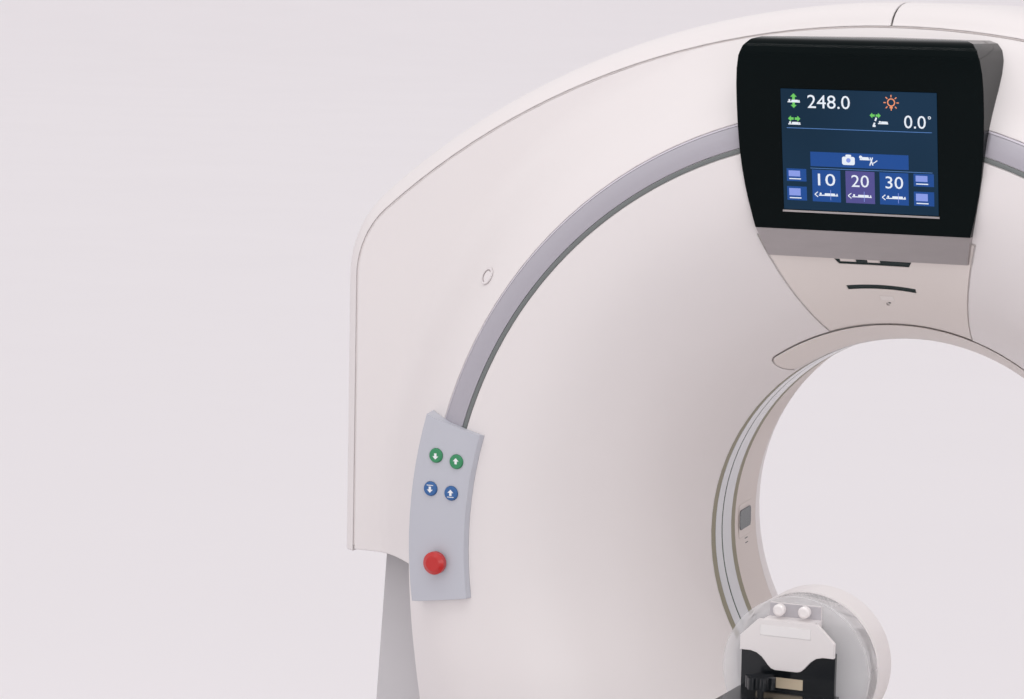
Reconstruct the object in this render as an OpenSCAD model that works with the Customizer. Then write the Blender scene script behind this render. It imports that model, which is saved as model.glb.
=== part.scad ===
// Computed tomography scanner: ring gantry, patient table and test phantom.
// Millimetres. The origin lies on the floor under the isocentre, the point where the
// axis of the patient opening crosses the scan plane. +X is to the right seen from the
// table, +Y runs from the table through the opening to the rear, +Z is up.
// Most gantry pieces are drawn about the isocentre and lifted to its height.

/* [Patient opening] */
// Diameter of the patient opening at the scan window
bore_d = 700; // [680:10:720]
// Height of the isocentre above the floor
iso_h = 985; // [980:5:1040]
// Scan window ring: distance from the scan plane to its front edge
window_front = 51; // [45:1:60]
// Scan window ring: distance from the scan plane to its rear edge
window_rear = 65; // [55:1:75]
// Width of the seal at each edge of the scan window
seal_w = 20; // [14:1:26]
// Thickness of the scan window ring
window_t = 3; // [2:0.5:4]

/* [Gantry covers] */
// Room between the rotor drum and the sides of the lower covers
side_clear = 105; // [100:1:120]
// Height of the crown above the rotor drum
crown_clear = 210; // [200:1:230]
// Radius of the broad arc over the top
crown_r = 1395.25; // [1350:0.25:1500]
// Radius of the upper corners
corner_r = 195; // [160:5:220]
// Wall of the moulded covers
cover_t = 5; // [4:0.5:7]
// Joint between two covers
seam = 3; // [2:0.5:4]
// Distance from the scan plane to the crest of the front cover
front_crest = 378; // [365:1:390]
// Distance from the scan plane to the crest of the rear cover
rear_crest = 545; // [530:5:570]
// Radial width of the fall from the front cover's crest to its rim
fall_w = 210; // [200:1:220]
// Distance from the scan plane to the front joint of the crown
rim_front = 246; // [240:1:255]
// Distance from the scan plane to the rear joint of the crown
rim_rear = 345; // [335:5:360]
// Height of the crown's rounded edge, seen from the front
crown_edge = 38; // [32:1:44]
// How far the wide upper covers reach below the tilt axis
skirt_drop = 60; // [50:5:75]
// Height of the lower covers above the floor
belly_h = 135; // [120:1:160]
// Radius of the lower corners
lower_r = 150; // [120:10:180]

/* [Front trim] */
// How far the grey inlay band reaches past the beginning of the crest
band_out = 45; // [40:1:52]
// Radial width of the grey inlay band
band_w = 46; // [40:1:50]
// Half the angle of the console panel, from the vertical
console_angle = 18.2; // [17:0.1:20]
// Half the angle of the lip panel over the opening
lip_angle = 36.5; // [33:0.5:40]
// Radial width of the lip panel
lip_w = 31; // [28:1:34]
// Diameter of the round badge
badge_d = 30; // [24:1:36]

/* [Display] */
// Width of the screen
screen_w = 248; // [240:1:260]
// Height of the screen, along its face
screen_h = 190; // [180:1:200]
// How far the screen's centre lies below the top of the crown
screen_drop = 230; // [220:1:240]
// How far the screen's centre stands out from the cover's crest
screen_out = 11; // [8:1:16]
// Forward lean of the screen
screen_lean = 10.3; // [8:0.1:12]
// Half the width of the display housing at its shoulders
housing_half = 197; // [190:1:205]
// Half the width of the display housing at its lower edge
housing_foot = 161; // [150:1:170]
// Height of the silver strip under the display
chin_h = 45; // [40:1:50]

/* [Control panels] */
// Angle from the vertical at which a control panel begins
panel_from = 74; // [70:1:78]
// Angle that a control panel spans
panel_span = 24; // [22:1:28]
// Height of a control panel over the cover's crest
panel_t = 12; // [10:1:16]
// Diameter of a control button
button_d = 24; // [18:1:28]
// Diameter of the emergency stop's mushroom head
stop_d = 38; // [34:1:42]
// Travel of the buttons
button_travel = 1.5; // [1:0.1:2]

/* [Tilting frame and rotor] */
// Outer radius of the main bearing
bearing_r = 560; // [550:5:570]
// Width of the main bearing
bearing_w = 60; // [50:2:70]
// Distance from the scan plane to the front of the tilting frame's plate
frame_front = 110; // [108:1:116]
// Thickness of the tilting frame's plate
frame_t = 60; // [50:2:70]
// Gap between the tilting frame and the sides of the lower covers
frame_side = 25; // [20:1:30]
// Outer radius of the rotor drum
drum_r = 690; // [680:5:700]
// Thickness of the rotor drum's plate
drum_t = 35; // [30:1:40]
// Distance from the isocentre to the x-ray tube's focal spot
focus_r = 541; // [535:1:550]
// Room between the patient opening and the detector
detector_clear = 58; // [55:1:65]
// Diameter of the trunnions
trunnion_d = 110; // [100:2:120]
// Radial clearance of a shaft in its bush
running_gap = 0.05; // [0.02:0.01:0.08]
// Width of the pedestals along X
pedestal_w = 90; // [86:1:92]
// Radius of the pedestals' heads
pedestal_r = 130; // [120:2:134]
// Half the depth of a pedestal at its foot
pedestal_foot = 250; // [220:5:260]
// Radius of the drive pulley
pulley_r = 60; // [50:1:65]

/* [Patient table] */
// Length of the cradle
cradle_l = 2350; // [2300:10:2450]
// Distance from the scan plane to the cradle's end in its parking place
cradle_y = 640; // [630:5:660]
// Height of the cradle's trough below the isocentre
cradle_drop = 248; // [240:1:256]
// Radius of the cradle's trough
trough_r = 380; // [370:5:400]
// Thickness of the cradle
cradle_t = 42; // [38:1:44]
// Half the angle of the cradle's curved section
cradle_angle = 31; // [29:0.5:32]
// How far the parked cradle stands out of the table top
cradle_out = 80; // [75:1:90]
// Length of the table top
platform_l = 2180; // [2150:10:2250]
// Height of the cradle above the floor with the table at its lowest
cradle_low = 430; // [400:1:450]
// Distance from the table top's front end to the front of the table's base
base_in = 422; // [400:1:440]
// Length of the table's base
base_l = 816; // [800:4:840]
// Width of the table's base skirt
skirt_w = 380; // [370:2:384]
// Clearance between telescoping pieces
glide_gap = 0.8; // [0.5:0.1:0.9]

/* [Test phantom] */
// Diameter of the phantom
phantom_d = 228; // [210:1:232]
// Length of the phantom
phantom_l = 120; // [110:1:140]
// Length of the phantom's clear front section
clear_l = 52; // [45:1:60]
// How far the phantom's centre lies below the isocentre
phantom_drop = 98; // [92:1:104]
// How far the phantom's front face stands out past the cradle's end
phantom_out = 21; // [18:1:26]

/* [Hidden] */

$fn = 96;
bore_r = bore_d / 2;
contact = 0.3;
reach = 700;
far_r = 1260;
// The covers follow from the rotor, the pedestals beside it and the crown's rolled edge
flange = 16;
side_gap = 25;
shoulder_gap = 11;
lower_w = 2 * (drum_r + side_clear);
gantry_w = lower_w + 2 * (side_gap + pedestal_w + shoulder_gap + crown_edge + flange);
lower_drop = iso_h - belly_h;
crown_rise = drum_r + crown_clear;
rim_r = gantry_w / 2 - 75;
crest_r = rim_r - fall_w;
band_r = crest_r + band_out;
crown_z = crown_rise - crown_r;
corner_x = gantry_w / 2 - corner_r;
corner_z = crown_z + sqrt(pow(crown_r - corner_r, 2) - pow(corner_x, 2));
corner_a = asin(corner_x / (crown_r - corner_r));
// Places of the display
screen_z = crown_rise - screen_drop;
screen_s = front_crest + screen_out;
housing_top = screen_z + 175;
housing_low = screen_z - 170;
crease_z = screen_z + 142;
// Places of the table and of what stands on it, behind each other along Y
phantom_y = cradle_y - phantom_out;
platform_y = cradle_y + cradle_out;
base_y = platform_y + base_in;
lower_travel = iso_h - cradle_drop - cradle_low;

// Points along a cubic curve
function bezier(a, b, c, d, n) = [for (i = [0:n]) let (t = i / n, u = 1 - t)
    u * u * u * a + 3 * u * u * t * b + 3 * u * t * t * c + t * t * t * d];
// A curve moved sideways by t, to the left of its direction of travel
function beside(p, t) = [for (i = [0:len(p) - 1])
    let (v = p[min(i + 1, len(p) - 1)] - p[max(i - 1, 0)], l = norm(v))
    p[i] + t * [-v[1], v[0]] / l];
function reversed(p) = [for (i = [len(p) - 1:-1:0]) p[i]];
// A curve without its first point, to follow on another one
function rest_of(p) = [for (i = [1:len(p) - 1]) p[i]];
function part_of(p, r0, r1) = concat([[r0, lookup(r0, p)]], [for (q = p) if (q[0] > r0 && q[0] < r1) q],
    [[r1, lookup(r1, p)]]);

// Section of the front cover: radius from the axis, distance ahead of the scan plane
front_line = concat(
    bezier([bore_r, window_front], [bore_r + 24, window_front + 99], [crest_r - 210, front_crest],
        [crest_r, front_crest], 16),
    rest_of(bezier([crest_r, front_crest], [crest_r + 90, front_crest], [rim_r - 70, rim_front],
        [rim_r, rim_front], 10)),
    [[far_r, rim_front]]);
// Section of the rear cover: radius, distance behind the scan plane
liner_end = [bore_r + 13, window_rear + 140];
rear_line = concat(
    bezier(liner_end, liner_end + [9, 70], [bore_r + 110, rear_crest], [crest_r - 50, rear_crest], 12),
    rest_of(bezier([crest_r - 50, rear_crest], [crest_r + 60, rear_crest], [rim_r - 90, rim_rear],
        [rim_r, rim_rear], 8)),
    [[far_r, rim_rear]]);

// Helpers for placing
module at_iso() { translate([0, 0, iso_h]) children(); }
// Extrudes an outline drawn in X and Z from front_y to rear_y
module along_y(front_y, rear_y) {
    translate([0, rear_y, 0]) rotate([90, 0, 0]) linear_extrude(rear_y - front_y) children();
}
// Revolves a section (radius, distance ahead) about the axis of the opening
module around_axis(from = 0, span = 360) {
    rotate([90, 0, 0]) rotate([0, 0, from]) rotate_extrude(angle = span, $fn = 180) children();
}
// Revolves a sector that is symmetric about the angle a, measured from the vertical
module around_sector(a, half) { around_axis(90 - a - half, 2 * half) children(); }
module both_sides() {
    children();
    mirror([1, 0, 0]) children();
}
module wedge(half) {
    polygon([[0, 0], [-2 * far_r * tan(half), 2 * far_r], [2 * far_r * tan(half), 2 * far_r]]);
}

// Outline of the gantry, drawn d inside its outer surface
module upper_outline(d, low) {
    top = crown_r - d;
    intersection() {
        translate([0, crown_z]) circle(top, $fn = 240);
        translate([0, crown_z]) polygon([[0, 0], [-2 * top * sin(corner_a), 2 * top * cos(corner_a)],
            [2 * top * sin(corner_a), 2 * top * cos(corner_a)]]);
    }
    for (x = [-corner_x, corner_x]) translate([x, corner_z]) circle(corner_r - d);
    translate([d - gantry_w / 2, low - skirt_drop])
        square([gantry_w - 2 * d, corner_z + skirt_drop - low]);
}
module lower_outline(d) {
    half = lower_w / 2 - d;
    translate([-half, lower_r - lower_drop]) square([2 * half, lower_drop - lower_r]);
    for (x = [lower_r - lower_w / 2, lower_w / 2 - lower_r])
        translate([x, lower_r - lower_drop]) circle(lower_r - d);
    translate([lower_r - lower_w / 2, d - lower_drop]) square([lower_w - 2 * lower_r, lower_r]);
}
module cover_outline(d) {
    upper_outline(crown_edge + d, d);
    lower_outline(d);
}
// Everything behind the front surface, moved in by t
module behind_front(t = 0) {
    p = beside(front_line, -t);
    around_axis() polygon(concat([[p[0][0], -window_rear]], p, [[far_r, -window_rear]]));
}
module ahead_of_rear(t = 0) {
    p = beside(rear_line, -t);
    mirror([0, 1, 0]) around_axis() polygon(concat([[p[0][0], window_rear]], p, [[far_r, window_rear]]));
}

// Section of the crown: depth inside the outline, distance ahead of the scan plane
crown_round = 95;
function crown_skin(t) = concat(
    bezier([-crown_edge, rim_front - t], [-15, rim_front - 10 - t], [-t, rim_front - 40],
        [-t, rim_front - crown_round], 6),
    bezier([-t, crown_round - rim_rear], [-t, 40 - rim_rear], [-15, 10 + t - rim_rear],
        [-crown_edge, t - rim_rear], 6));
flange_s = rim_front - 30;
flange_b = rim_rear - 30;
crown_section = concat(crown_skin(0),
    [[-crown_edge, -flange_b], [-crown_edge - flange, -flange_b],
        [-crown_edge - flange, cover_t - flange_b], [cover_t - crown_edge, cover_t - flange_b],
        [cover_t - crown_edge, 2 * cover_t - rim_rear]],
    reversed([for (p = crown_skin(cover_t)) if (p[0] > cover_t - crown_edge) p]),
    [[cover_t - crown_edge, rim_front - 2 * cover_t], [cover_t - crown_edge, flange_s - cover_t],
        [-crown_edge - flange, flange_s - cover_t], [-crown_edge - flange, flange_s],
        [-crown_edge, flange_s]]);
module crown_profile(r) { translate([r, 0]) polygon(crown_section); }
// The plane in which the top arc meets the corner arc
module past_corner() {
    along_y(-2 * reach, 2 * reach) polygon([[0, crown_z],
        [-2 * corner_x, crown_z + 2 * (corner_z - crown_z)], [-4 * corner_x, crown_z]]);
}
module crown_half() {
    color("whitesmoke") at_iso() {
        difference() {
            translate([0, 0, crown_z]) around_axis(90, corner_a + 3) crown_profile(crown_r);
            past_corner();
        }
        intersection() {
            translate([-corner_x, 0, corner_z]) around_axis(90, 90) crown_profile(corner_r);
            past_corner();
        }
        translate([-corner_x, 0, -skirt_drop]) rotate([0, 0, 180])
            linear_extrude(corner_z + skirt_drop) crown_profile(corner_r);
    }
}
module crown_left() {
    difference() {
        crown_half();
        at_iso() translate([-seam / 2, -reach, 0]) cube([seam, 2 * reach, 2 * reach]);
    }
}
module crown_right() { mirror([1, 0, 0]) crown_left(); }

// Front cover: a revolved shell inside the gantry's outline, with a turned-back rim.
// The trim panels lie in shallow recesses in its face.
inset = 3;
console_r0 = bore_r + lip_w + seam / 2;
console_r1 = housing_low + 60;
module console_sector(grow) {
    along_y(-reach, -window_front) intersection() {
        difference() {
            circle(console_r1 + grow);
            circle(console_r0 - grow);
        }
        wedge(console_angle + grow / 8);
    }
}
lip_end = lip_w / 2;
module lip_sector(grow) {
    bend = lip_angle - 2.4;
    along_y(-reach, -window_front - 8) {
        intersection() {
            difference() {
                circle(bore_r + lip_w + grow);
                circle(bore_r - 20);
            }
            wedge(bend);
        }
        for (a = [bend, -bend]) rotate(-a) translate([0, bore_r + lip_end])
            circle(lip_end + grow);
    }
}
// A layer on the front surface, from s0 to s1 above it, symmetric about the angle a
module layer(r0, r1, a, half, s0, s1) {
    p = part_of(front_line, r0, r1);
    around_sector(a, half) polygon(concat(beside(p, s1), reversed(beside(p, s0))));
}
module console_layer(s0, s1) { layer(console_r0 - 7.5, console_r1 + 10, 0, console_angle + 3, s0, s1); }
module lip_layer(s0, s1) { layer(bore_r, bore_r + lip_w + 11, 0, lip_angle + 4, s0, s1); }
inlay_mid = (panel_from + 14) / 2;
module inlay_sector(r0, r1, s0, s1, grow = 0) {
    for (a = [-inlay_mid, inlay_mid]) layer(r0, r1, a, inlay_mid - 14 + grow, s0, s1);
}
module cover_shell(front) {
    difference() {
        intersection() {
            children(0);
            along_y(front ? -reach : liner_end[1], front ? -window_front : reach)
                cover_outline(seam);
        }
        intersection() {
            children(1);
            along_y(front ? -reach : liner_end[1] - 1, front ? 0 : reach)
                cover_outline(seam + cover_t);
        }
        along_y(front ? -flange_s : 0, front ? 0 : flange_b) difference() {
            circle(2 * far_r);
            circle(crest_r - 90);
        }
    }
}
// Room for the pedestals' heads when the gantry tilts
module pedestal_room() {
    both_sides() translate([lower_w / 2, -rim_front + 11, -skirt_drop - 10])
        cube([side_gap + pedestal_w + shoulder_gap + 3, rim_front + rim_rear - 22, skirt_drop + 100]);
}
module front_cover() {
    color("whitesmoke") at_iso() difference() {
        cover_shell(true) {
            behind_front();
            behind_front(cover_t);
        }
        pedestal_room();
        intersection() {
            console_layer(-inset, 20);
            console_sector(seam / 2);
        }
        intersection() {
            lip_layer(-inset, 20);
            lip_sector(seam / 2);
        }
        inlay_sector(band_r - band_w - 1, band_r + 1, -inset, 20, 0.4);
    }
}
module rear_cover() {
    color("whitesmoke") at_iso() difference() {
        cover_shell(false) {
            ahead_of_rear();
            ahead_of_rear(cover_t);
        }
        pedestal_room();
        rear_vents();
    }
}
// Air slots in the rear cover, in two rows beside the opening
module rear_vents() {
    for (side = [-1, 1], i = [0:8])
        translate([side * (lower_w / 2 - 135) - 60, rim_rear - 40, i * 26 - 560]) cube([120, reach, 10]);
}
// Sides and belly between the lower halves of the covers
module belly_cover() {
    top = -skirt_drop - 30;
    color("whitesmoke") at_iso() along_y(-flange_s, flange_b) intersection() {
        difference() {
            lower_outline(seam);
            lower_outline(seam + cover_t);
        }
        translate([-far_r, -far_r]) square([2 * far_r, far_r + top]);
    }
}
module inlay_bands() {
    color("lightslategray") at_iso() inlay_sector(band_r - band_w, band_r, contact - inset, -0.6);
}
badge_a = 56;
badge_r = 785;
module badge() {
    slope = atan((lookup(badge_r + 4, front_line) - lookup(badge_r - 4, front_line)) / 8);
    color("gainsboro") at_iso() rotate([0, -badge_a, 0])
        translate([0, -lookup(badge_r, front_line) - contact, badge_r]) rotate([90 + slope, 0, 0])
            cylinder(2.2, d = badge_d);
}

// Console panel with its two slots, and the lip over the opening
slot_z = housing_low - 7;
slot_low = slot_z - 42;
module console_panel() {
    color("gainsboro") at_iso() difference() {
        intersection() {
            console_layer(-inset, -0.6);
            console_sector(-seam / 4);
        }
        slots(0);
        along_y(-reach, -window_front) translate([-2, slot_low - 30]) circle(2.6, $fn = 24);
    }
}
// The upper slot has two tabs on its edge, the lower one is arched about the opening
module slots(grow) {
    along_y(-reach, -window_front) {
        difference() {
            polygon([[-63 - grow, slot_z + 4 + grow], [63 + grow, slot_z + 4 + grow],
                [57 + grow, slot_z - 4 - grow], [-57 - grow, slot_z - 4 - grow]]);
            for (tab = [[-54, 25], [-10, 20]]) translate([tab[0] + grow, slot_z + grow])
                square([tab[1] - 2 * grow, 10]);
        }
        intersection() {
            difference() {
                circle(slot_low + 4 + grow);
                circle(slot_low - 3 - grow);
            }
            wedge(7.2 + grow / 8);
        }
    }
}
module slot_inserts() {
    color("dimgray") at_iso() intersection() {
        console_layer(-inset, -1.6);
        slots(-contact);
    }
}
module lip_panel() {
    color("gainsboro") at_iso() intersection() {
        lip_layer(-inset, 1.2);
        lip_sector(-seam / 4);
    }
}

// Display over the opening
function screen_plane(z) = screen_s + (z - screen_z) * tan(screen_lean);
// The housing's outline, seen from the front
housing_side = concat(
    bezier([housing_foot, housing_low], [housing_half - 12, housing_low + 90],
        [housing_half, housing_low + 130], [housing_half, housing_top - 105], 8),
    rest_of(bezier([housing_half, housing_top - 105], [housing_half, housing_top - 45],
        [housing_half - 3, housing_top - 4], [housing_half - 34, housing_top - 2], 6)));
module housing_front() {
    polygon(concat(housing_side, [[0, housing_top]],
        reversed([for (p = housing_side) [-p[0], p[1]]])));
}
// The housing's section: distance ahead of the scan plane, height
chin_z = housing_low + chin_h;
visor = bezier([screen_plane(crease_z), crease_z], [screen_plane(crease_z) + 2, crease_z + 24],
    [screen_plane(crease_z) - 14, housing_top + 1], [screen_plane(crease_z) - 55, housing_top], 8);
module across_x(half) {
    rotate([90, 0, -90]) translate([0, 0, -half]) linear_extrude(2 * half) children();
}
housing_back = 200;
module housing_body() {
    intersection() {
        across_x(housing_half + 1) polygon(concat([[housing_back, chin_z], [screen_plane(chin_z), chin_z]],
            visor, [[housing_back, housing_top]]));
        along_y(-reach, -housing_back) housing_front();
    }
}
// What lies behind the front cover's surface under the display
module surface_block() {
    top = crown_rise + 5;
    p = beside(part_of(front_line, housing_low - 60, top), contact);
    around_sector(0, 26) polygon(concat([[p[0][0], 100]], p, [[top, 100]]));
}
module screen_box(w, h, depth, lift) {
    translate([0, -screen_s, screen_z]) rotate([screen_lean, 0, 0])
        translate([-w / 2, -lift, -h / 2]) cube([w, depth, h]);
}
screen_t = 6;
module display_housing() {
    color("black") at_iso() difference() {
        housing_body();
        surface_block();
        screen_box(screen_w + 0.6, screen_h + 0.6, screen_t + 30, 30);
    }
}
module display_screen() {
    color("midnightblue") at_iso() screen_box(screen_w, screen_h, screen_t + 1 - contact, 1);
}
module screen_trim() {
    color("silver") at_iso() translate([0, -screen_s, screen_z]) rotate([screen_lean, 0, 0])
        translate([-screen_w / 2 - 2, -1.8, -screen_h / 2 - 4.3]) cube([screen_w + 4, 1.5, 3]);
}
module display_chin() {
    color("silver") at_iso() difference() {
        intersection() {
            across_x(housing_half) polygon([[housing_back, housing_low], [front_crest - 44, housing_low],
                [screen_plane(chin_z) - 1, chin_z - contact], [housing_back, chin_z - contact]]);
            along_y(-reach, -housing_back) housing_front();
        }
        surface_block();
    }
}

// Scan window ring, its seals and the liner behind it
module ring(r0, r1, y0, y1) {
    along_y(y0, y1) difference() {
        circle(r1, $fn = 240);
        circle(r0, $fn = 240);
    }
}
module scan_window() {
    y0 = seal_w - window_front;
    y1 = window_rear - seal_w;
    color("lightgray") at_iso() difference() {
        ring(bore_r - 0.5, bore_r + window_t, y0, y1);
        ring(bore_r - 2, bore_r + 1, -2.5, 2.5);
    }
}
module window_seals() {
    color("darkkhaki") at_iso() {
        ring(bore_r, bore_r + window_t + 3, -window_front, seal_w - window_front);
        ring(bore_r, bore_r + window_t + 3, window_rear - seal_w, window_rear);
    }
}
laser_y = 131;
laser_half = [32, 24];
module laser_hole(grow) {
    both_sides() translate([bore_r - 30, laser_y - laser_half[0] - grow, -laser_half[1] - 8 - grow])
        cube([70, 2 * (laser_half[0] + grow), 2 * (laser_half[1] + grow)]);
}
module liner_shell(t0, t1) {
    around_axis() polygon([[bore_r + t0, -window_rear], [liner_end[0] + t0, -liner_end[1]],
        [liner_end[0] + t1, -liner_end[1]], [bore_r + t1, -window_rear]]);
}
module rear_liner() {
    color("antiquewhite") at_iso() difference() {
        liner_shell(0, cover_t);
        laser_hole(contact);
    }
}
module laser_windows() {
    color("darkslategray") at_iso() intersection() {
        liner_shell(1.5, cover_t);
        laser_hole(0);
    }
}

// Control panels beside the opening, with sprung buttons
panel_r0 = band_r - band_w - 34;
panel_r1 = band_r + 33;
panel_mid = (panel_r0 + panel_r1) / 2;
panel_face = front_crest + panel_t;
panel_top = [[panel_r1 - 6, panel_face - 8], [panel_r1 - 24, panel_face],
    [panel_r0 + 12, panel_face], [panel_r0 + 4, panel_face - 4]];
button_rows = [4.6, 9.1];
button_gap = contact;
module panel_place(a, r) {
    rotate([0, a, 0]) translate([0, -panel_face, r]) rotate([90, 0, 0]) children();
}
// Angle from the vertical and radius of button i on the right-hand panel
function button_at(i) = [panel_from + button_rows[floor(i / 2)] , panel_mid - 6 + (i % 2 == 0 ? -19 : 19)];
stop_at = [panel_from + panel_span - 5.2, panel_mid - 6];
button_depth = 9;
module control_panels() {
    a = panel_from + panel_span / 2;
    p = beside(part_of(front_line, panel_r0, panel_r1), contact);
    color("lightsteelblue") at_iso() both_sides() difference() {
        around_sector(a, panel_span / 2) polygon(concat(p, panel_top));
        for (i = [0:3]) panel_place(button_at(i)[0], button_at(i)[1])
            translate([0, 0, -button_depth]) cylinder(button_depth + 1, d = button_d + 2 * button_gap);
        panel_place(stop_at[0], stop_at[1])
            translate([0, 0, -button_depth]) cylinder(button_depth + 1, d = stop_d / 2 + 2 * button_gap);
    }
}
module button(i) {
    at_iso() panel_place(button_at(i)[0], button_at(i)[1]) {
        translate([0, 0, button_travel + contact - button_depth])
            cylinder(button_depth - contact, d = button_d);
        translate([0, 0, button_travel]) cylinder(2, d1 = button_d, d2 = button_d - 3);
    }
}
module stop_button() {
    at_iso() panel_place(stop_at[0], stop_at[1]) {
        translate([0, 0, button_travel + contact - button_depth])
            cylinder(button_depth + 6, d = stop_d / 2);
        translate([0, 0, 6]) cylinder(9, d = stop_d);
        translate([0, 0, 15]) cylinder(5, d1 = stop_d, d2 = stop_d - 14);
    }
}
module button_up_right() { color("seagreen") button(0); }
module button_down_right() { color("seagreen") button(1); }
module button_in_right() { color("steelblue") button(2); }
module button_out_right() { color("steelblue") button(3); }
module button_up_left() { color("seagreen") mirror([1, 0, 0]) button(0); }
module button_down_left() { color("seagreen") mirror([1, 0, 0]) button(1); }
module button_in_left() { color("steelblue") mirror([1, 0, 0]) button(2); }
module button_out_left() { color("steelblue") mirror([1, 0, 0]) button(3); }
module stop_right() { color("red") stop_button(); }
module stop_left() { color("red") mirror([1, 0, 0]) stop_button(); }

// Floor frame, plinth and pedestals
pedestal_x = lower_w / 2 + side_gap;
foot_h = 60;
foot_half = [95, 430];
foot_x = pedestal_x + pedestal_w / 2;
anchor_x = foot_x + 15;
anchor_y = foot_half[1] - 40;
anchor_r = 9;
beam_h = 48;
module floor_frame() {
    color("gray") difference() {
        union() {
            both_sides() translate([foot_x - foot_half[0], -foot_half[1], 0])
                cube([2 * foot_half[0], 2 * foot_half[1], foot_h]);
            for (y = [-180, 180]) translate([-foot_x, y - 40, 0]) cube([2 * foot_x, 80, beam_h]);
        }
        for (x = [-anchor_x, anchor_x], y = [-anchor_y, anchor_y])
            translate([x, y, -1]) cylinder(foot_h + 2, r = anchor_r);
    }
}
// Plinth over the floor frame, with the cable duct that runs on to the table's base plate
plinth_half = foot_x - foot_half[0] - 3;
plinth_front = 300;
plinth_l = 640;
duct_half = 100;
duct_h = 30;
base_edge = 42;
module base_plinth() {
    t = 4;
    top = beam_h + contact + t;
    color("lightgray") {
        difference() {
            translate([-plinth_half, -plinth_front, 0]) cube([2 * plinth_half, plinth_l, top]);
            translate([-plinth_half - 1, t - plinth_front, -1])
                cube([2 * plinth_half + 2, plinth_l - 2 * t, top - t + 1]);
        }
        translate([-duct_half, base_edge + contact - base_y, 0])
            cube([2 * duct_half, base_y - base_edge - plinth_front, duct_h]);
    }
}
// Side outline of a pedestal: a round head on the tilt axis and straight flanks
module pedestal_outline(grow) {
    r = pedestal_r + grow;
    foot = pedestal_foot + grow;
    h = iso_h - foot_h;
    a = acos(r / norm([foot, h])) - atan2(h, foot);
    circle(r);
    polygon([[-foot, -h], [foot, -h], [r * cos(a), r * sin(a)], [-r * cos(a), r * sin(a)]]);
}
bush_r = trunnion_d / 2 + 20;
recess_x = 45;
access_h = 365;
module pedestals() {
    color("gray") at_iso() both_sides() translate([pedestal_x, 0, 0]) rotate([90, 0, 90])
        difference() {
            linear_extrude(pedestal_w) pedestal_outline(0);
            translate([0, 0, -1]) cylinder(pedestal_w, r = bush_r + running_gap);
            translate([0, 0, recess_x]) cylinder(pedestal_w, r = pedestal_r - 26);
            translate([-50, -440, recess_x]) cube([100, 440, pedestal_w]);
            translate([0, access_h - iso_h, -1]) cylinder(pedestal_w + 2, r = 90);
        }
}
module pedestal_covers() {
    gap = 4;
    color("gainsboro") at_iso() both_sides() translate([pedestal_x - gap - cover_t, 0, 0])
        rotate([90, 0, 90]) difference() {
            linear_extrude(pedestal_w + 2 * gap + 2 * cover_t) pedestal_outline(gap + cover_t);
            translate([0, 0, cover_t]) linear_extrude(pedestal_w + 2 * gap) pedestal_outline(gap);
            translate([0, 0, -1]) cylinder(cover_t + 2, r = bush_r + 15);
        }
}
module tilt_bearings() {
    color("goldenrod") at_iso() both_sides() translate([pedestal_x, 0, 0]) rotate([0, 90, 0])
        difference() {
            cylinder(recess_x - contact, r = bush_r);
            translate([0, 0, -1]) cylinder(recess_x + 2, r = trunnion_d / 2 + running_gap);
        }
}
// Sealed worm gearbox on the right-hand trunnion, with its motor hanging below
drive_t = pedestal_w - recess_x - 2;
module tilt_drive() {
    color("dimgray") at_iso() translate([pedestal_x + recess_x + contact, 0, 0]) {
        rotate([0, 90, 0]) difference() {
            cylinder(drive_t, r = pedestal_r - 27);
            translate([0, 0, -1]) cylinder(drive_t + 2, r = trunnion_d / 2 + running_gap);
        }
        translate([0, -46, -190]) cube([drive_t, 92, 110]);
        translate([drive_t / 2, 0, -420]) cylinder(231, r = drive_t / 2 - 1);
    }
}

// Tilting frame with its trunnions and the posts that carry the covers
frame_half = lower_w / 2 - frame_side;
trunnion_end = pedestal_x + pedestal_w - 5;
cheek_t = 70;
plate_z = bearing_r + 80;
post_x = bearing_r;
post_w = 40;
drive_at = [558, -558];
shaft_r = 20;
module tilt_frame() {
    frame_rear = frame_front + frame_t;
    color("slategray") at_iso() {
        along_y(frame_front, frame_rear) difference() {
            polygon([[-frame_half, -plate_z], [frame_half, -plate_z], [frame_half, plate_z - 210],
                [post_x + 50, plate_z], [-post_x - 50, plate_z], [-frame_half, plate_z - 210]]);
            circle(bearing_r);
            translate(drive_at) circle(shaft_r + 10);
        }
        both_sides() {
            translate([frame_half - cheek_t, -80, -130])
                cube([cheek_t, frame_rear + 80, 260]);
            translate([frame_half, 0, 0]) rotate([0, 90, 0]) {
                cylinder(trunnion_end - frame_half, d = trunnion_d);
                cylinder(14, d = trunnion_d + 50);
            }
            intersection() {
                translate([post_x - post_w / 2, frame_front + 10, -far_r])
                    cube([post_w, post_w, 2 * far_r]);
                along_y(0, reach) difference() {
                    union() {
                        upper_outline(cover_t, 0);
                        lower_outline(seam + cover_t);
                    }
                    translate([-reach, -plate_z]) square([2 * reach, 2 * plate_z]);
                }
            }
        }
    }
}

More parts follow.
